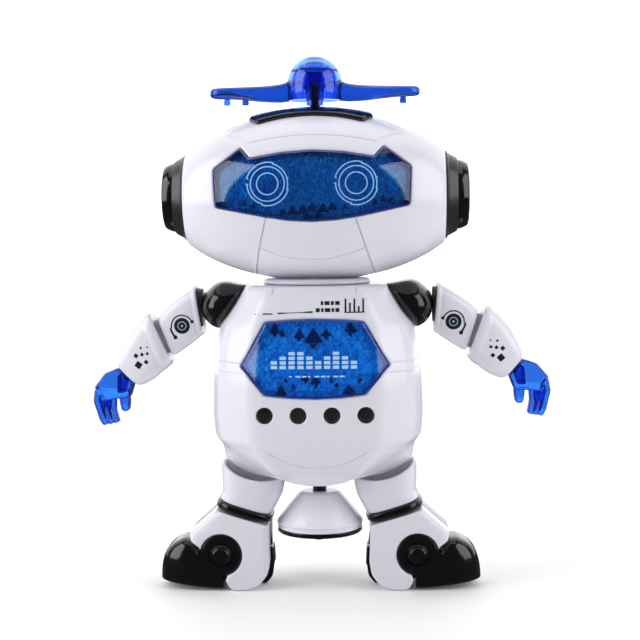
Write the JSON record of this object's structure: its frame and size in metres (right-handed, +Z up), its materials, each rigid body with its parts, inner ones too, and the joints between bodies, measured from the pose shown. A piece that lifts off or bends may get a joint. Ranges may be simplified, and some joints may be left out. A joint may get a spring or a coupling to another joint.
{
  "type": "toy robot",
  "caption": "Standing toy robot with a wide visored head, top rotor, turning arms and spreading legs, over a wheeled drive cone that hangs under the belly.",
  "frame": {"origin": "on the floor, under the middle of the standing robot", "axes": "+Z up, the robot faces -Y, its own left side is +X"},
  "size_m": [0.1907, 0.0834, 0.221],
  "materials": {
    "white_shell": "cool white gloss ABS",
    "black_gloss": "black gloss ABS",
    "clear_blue": "transparent deep blue",
    "reflector": "metallised blue prisms",
    "dark_plastic": "dark grey satin",
    "circuit_board": "green board lacquer",
    "steel": "plain",
    "battery_cell": "printed sleeve",
    "rubber": "matt"
  },
  "bodies": {
    "torso": {"torso_front_shell": "white_shell", "torso_rear_shell": "white_shell", "chest_window": "clear_blue", "chest_reflector": "reflector", "sound_ports": "dark_plastic", "left_shoulder": "black_gloss", "right_shoulder": "black_gloss", "chest_led_board": "circuit_board", "main_board": "circuit_board", "speaker": "dark_plastic", "battery_box": "white_shell", "battery_1": "battery_cell", "battery_2": "battery_cell", "battery_3": "battery_cell", "drive_motor": "steel", "left_hip_pin": "steel", "right_hip_pin": "steel"},
    "battery_door": {"battery_door": "white_shell", "door_screw": "steel"},
    "power_switch": {"power_switch": "black_gloss"},
    "head": {"head_front_shell": "white_shell", "head_rear_shell": "white_shell", "visor": "clear_blue", "face_reflector": "reflector", "face_led_board": "circuit_board", "crest_plate": "black_gloss", "neck_collar": "white_shell", "left_ear_ring": "black_gloss", "left_ear_cap": "black_gloss", "right_ear_ring": "black_gloss", "right_ear_cap": "black_gloss"},
    "rotor": {"propeller": "clear_blue", "rotor_shaft": "dark_plastic"},
    "drive_base": {"drive_cone": "white_shell", "base_plate": "black_gloss", "drive_shaft": "black_gloss", "wheel_axle": "steel"},
    "left_drive_wheel": {"left_drive_wheel": "rubber"},
    "right_drive_wheel": {"right_drive_wheel": "rubber"},
    "left_upper_arm": {"left_upper_arm": "white_shell", "left_shoulder_disc": "dark_plastic"},
    "left_forearm": {"left_forearm": "white_shell", "left_elbow_disc": "dark_plastic"},
    "left_hand": {"left_hand": "clear_blue"},
    "left_leg": {"left_thigh": "white_shell", "left_knee_ring": "black_gloss"},
    "left_boot": {"left_boot_front_shell": "white_shell", "left_boot_rear_shell": "white_shell", "left_shoe": "black_gloss"},
    "right_upper_arm": {"right_upper_arm": "white_shell", "right_shoulder_disc": "dark_plastic"},
    "right_forearm": {"right_forearm": "white_shell", "right_elbow_disc": "dark_plastic"},
    "right_hand": {"right_hand": "clear_blue"},
    "right_leg": {"right_thigh": "white_shell", "right_knee_ring": "black_gloss"},
    "right_boot": {"right_boot_front_shell": "white_shell", "right_boot_rear_shell": "white_shell", "right_shoe": "black_gloss"}
  },
  "joints": [
    {"name": "head_turn", "type": "hinge", "parent": "torso", "child": "head", "pos_m": [0, 0, 0.1273], "axis": [0, 0, 1], "range_deg": [-45, 45]},
    {"name": "rotor_spin", "type": "hinge", "parent": "head", "child": "rotor", "pos_m": [0, 0, 0.2027], "axis": [0, 0, 1], "continuous": true},
    {"name": "drive_base_turn", "type": "hinge", "parent": "torso", "child": "drive_base", "pos_m": [0, 0, 0.0398], "axis": [0, 0, 1], "continuous": true},
    {"name": "battery_door_lift", "type": "slide", "parent": "torso", "child": "battery_door", "axis": [0, 1, 0], "range_m": [0, 0.03]},
    {"name": "power_switch_slide", "type": "slide", "parent": "torso", "child": "power_switch", "axis": [1, 0, 0], "range_m": [0, 0.006]},
    {"name": "left_arm_swing", "type": "hinge", "parent": "torso", "child": "left_upper_arm", "pos_m": [0.042, 0, 0.1182], "axis": [-1, 0, 0], "range_deg": [-90, 180]},
    {"name": "left_elbow_twist", "type": "hinge", "parent": "left_upper_arm", "child": "left_forearm", "pos_m": [0.0649, 0, 0.1071], "axis": [0.9367, 0, -0.3502], "range_deg": [-120, 120]},
    {"name": "left_wrist_twist", "type": "hinge", "parent": "left_forearm", "child": "left_hand", "pos_m": [0.0819, 0, 0.0921], "axis": [0.7431, 0, -0.6691], "range_deg": [-90, 90]},
    {"name": "left_leg_spread", "type": "hinge", "parent": "torso", "child": "left_leg", "pos_m": [0.022, 0, 0.07], "axis": [0, -1, 0], "range_deg": [0, 40]},
    {"name": "left_boot_turn", "type": "hinge", "parent": "left_leg", "child": "left_boot", "pos_m": [0.03135, 0, 0.0327], "axis": [0.2924, 0, -0.9563], "range_deg": [-25, 25]},
    {"name": "left_wheel_spin", "type": "hinge", "parent": "drive_base", "child": "left_drive_wheel", "pos_m": [0.01, 0, 0.0266], "axis": [1, 0, 0], "continuous": true},
    {"name": "right_arm_swing", "type": "hinge", "parent": "torso", "child": "right_upper_arm", "pos_m": [-0.042, 0, 0.1182], "axis": [-1, 0, 0], "range_deg": [-90, 180]},
    {"name": "right_elbow_twist", "type": "hinge", "parent": "right_upper_arm", "child": "right_forearm", "pos_m": [-0.06422, 0, 0.1058], "axis": [-0.915, 0, -0.4035], "range_deg": [-120, 120]},
    {"name": "right_wrist_twist", "type": "hinge", "parent": "right_forearm", "child": "right_hand", "pos_m": [-0.08033, 0, 0.08985], "axis": [-0.7034, 0, -0.7108], "range_deg": [-90, 90]},
    {"name": "right_leg_spread", "type": "hinge", "parent": "torso", "child": "right_leg", "pos_m": [-0.022, 0, 0.07], "axis": [0, 1, 0], "range_deg": [0, 40]},
    {"name": "right_boot_turn", "type": "hinge", "parent": "right_leg", "child": "right_boot", "pos_m": [-0.03135, 0, 0.0327], "axis": [0.2924, 0, 0.9563], "range_deg": [-25, 25]},
    {"name": "right_wheel_spin", "type": "hinge", "parent": "drive_base", "child": "right_drive_wheel", "pos_m": [-0.01, 0, 0.0266], "axis": [1, 0, 0], "continuous": true}
  ]
}
